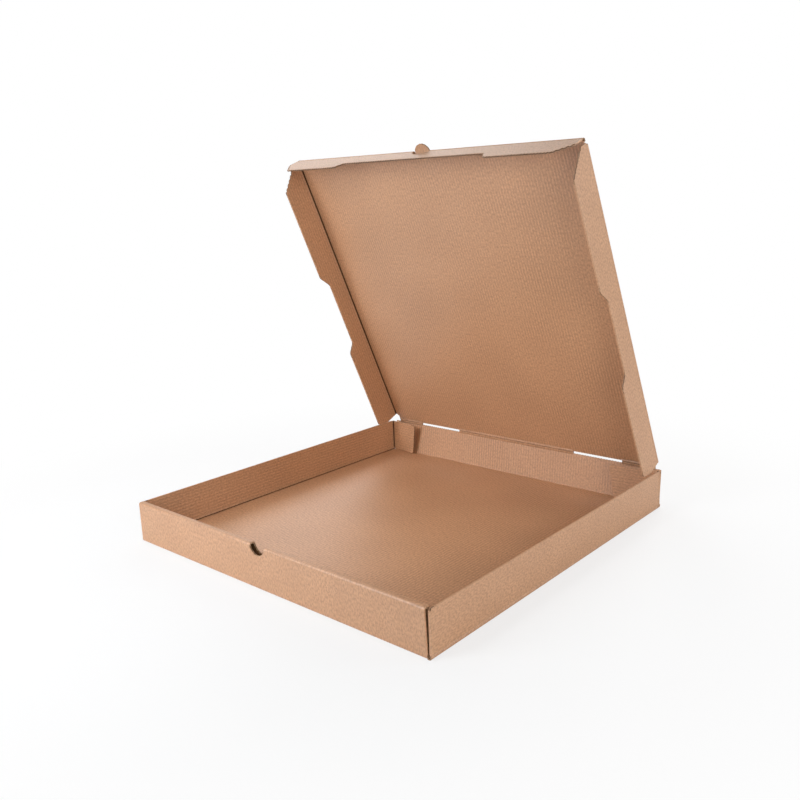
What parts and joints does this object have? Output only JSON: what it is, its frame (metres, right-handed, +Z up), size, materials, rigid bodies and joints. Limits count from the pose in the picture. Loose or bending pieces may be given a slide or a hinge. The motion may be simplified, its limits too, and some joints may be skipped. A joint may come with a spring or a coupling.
{
  "type": "pizza box",
  "caption": "Flat square pizza box folded from corrugated kraft board, with a rolled front wall, a thumb notch and a hinged lid with notched flaps, standing open.",
  "frame": {"origin": "centre of the tray's base, on the face it stands on", "axes": "+Z up out of the tray, -Y towards the rolled front wall with the thumb notch, +Y towards the hinge wall, +X to the right seen from the front"},
  "size_m": [0.38, 0.385, 0.3863],
  "materials": {
    "kraft_board": "plain brown kraft liner, matt, with fine fibre grain and small dark flecks"
  },
  "bodies": {
    "tray": {"tray": "kraft_board"},
    "lid": {"lid_panel": "kraft_board"},
    "left_flap": {"lid_left_flap": "kraft_board"},
    "right_flap": {"lid_right_flap": "kraft_board"},
    "front_flap": {"lid_front_flap": "kraft_board"},
    "left_tab": {"back_left_tab": "kraft_board"},
    "right_tab": {"back_right_tab": "kraft_board"}
  },
  "joints": [
    {"name": "lid_hinge", "type": "hinge", "parent": "tray", "child": "lid", "pos_m": [0, 0.1942, 0.0411], "axis": [-1, 0, 0], "range_deg": [-66, 114]},
    {"name": "left_flap_fold", "type": "hinge", "parent": "lid", "child": "left_flap", "pos_m": [-0.1862, 0.1942, 0.0411], "axis": [0, 0.4067, -0.9135], "range_deg": [-55, 90]},
    {"name": "right_flap_fold", "type": "hinge", "parent": "lid", "child": "right_flap", "pos_m": [0.1862, 0.1942, 0.0411], "axis": [0, -0.4067, 0.9135], "range_deg": [-55, 90]},
    {"name": "front_flap_fold", "type": "hinge", "parent": "lid", "child": "front_flap", "pos_m": [0, 0.04403, 0.37838], "axis": [1, 0, 0], "range_deg": [-87, 58]},
    {"name": "left_tab_fold", "type": "hinge", "parent": "tray", "child": "left_tab", "pos_m": [-0.1876, 0.1865, 0.02], "axis": [0, 0, -1], "range_deg": [-8, 77]},
    {"name": "right_tab_fold", "type": "hinge", "parent": "tray", "child": "right_tab", "pos_m": [0.1876, 0.1865, 0.02], "axis": [0, 0, 1], "range_deg": [-6, 79]}
  ]
}
